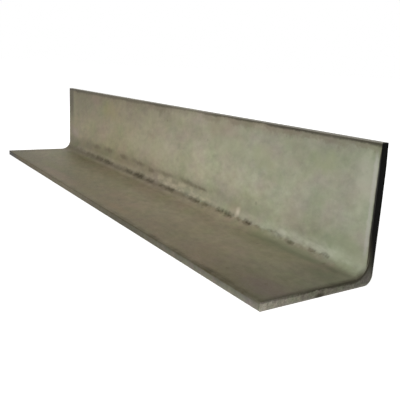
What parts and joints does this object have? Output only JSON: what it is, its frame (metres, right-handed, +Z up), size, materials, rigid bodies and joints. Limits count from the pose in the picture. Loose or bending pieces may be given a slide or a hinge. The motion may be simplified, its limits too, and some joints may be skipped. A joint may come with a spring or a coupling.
{
  "type": "metal angle section",
  "caption": "Equal-leg metal angle section: a short rolled length with a rounded heel, a filleted root and square-sawn ends, for framing, bracing and edging.",
  "frame": {"origin": "middle of the footprint's box at mid-length, on the underside of the flat leg", "axes": "+X along the bar, +Y from the flat leg's toe towards the outside face of the upright leg, +Z up along the upright leg"},
  "size_m": [0.3048, 0.0508, 0.0508],
  "materials": {
    "mill_metal": "dull as-rolled mill surface, greenish grey and mottled, with small rolled-in marks along the root and darker toes; the upright leg's sawn end is nearly black"
  },
  "bodies": {
    "root": {"angle_bar": "mill_metal"}
  },
  "joints": []
}
